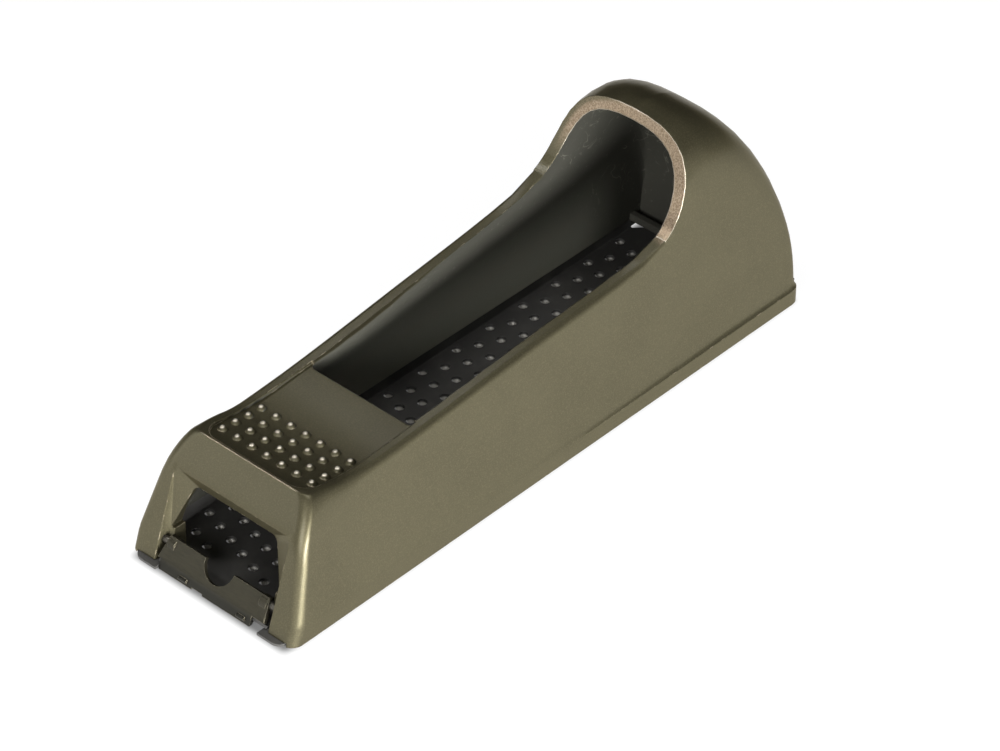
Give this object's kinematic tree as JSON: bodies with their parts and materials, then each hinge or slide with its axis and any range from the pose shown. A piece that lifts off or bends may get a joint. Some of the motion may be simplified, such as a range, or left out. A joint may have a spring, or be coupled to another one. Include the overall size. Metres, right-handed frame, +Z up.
{
  "type": "rasp plane",
  "caption": "Palm-size rasp plane: hooded cast body with a finger pad over a perforated rasp blade, held at the toe by a notched swinging clip.",
  "frame": {"origin": "centre of the overall box at the tips of the teeth", "axes": "+X from the toe to the heel, +Z up through the hood, +Y across to the far side of the picture"},
  "size_m": [0.1574, 0.0464, 0.0559],
  "materials": {
    "bronze_paint": "olive-bronze metallic paint, semi-gloss, on a die casting",
    "blackened_steel": "hardened and blackened pressed steel",
    "spring_steel": "dark grey spring steel, slightly worn",
    "pin_steel": "bright turned steel"
  },
  "bodies": {
    "plane": {"body": "bronze_paint", "blade": "blackened_steel", "pivot_pin_left": "pin_steel", "pivot_pin_right": "pin_steel"},
    "clip": {"clip": "spring_steel"}
  },
  "joints": [
    {"name": "clip_release", "type": "hinge", "parent": "plane", "child": "clip", "pos_m": [-0.0741, 0, 0.0056], "axis": [0, 1, 0], "range_deg": [0, 35], "stiffness_Nm_per_rad": 0.02, "springref_deg": -17.19}
  ]
}
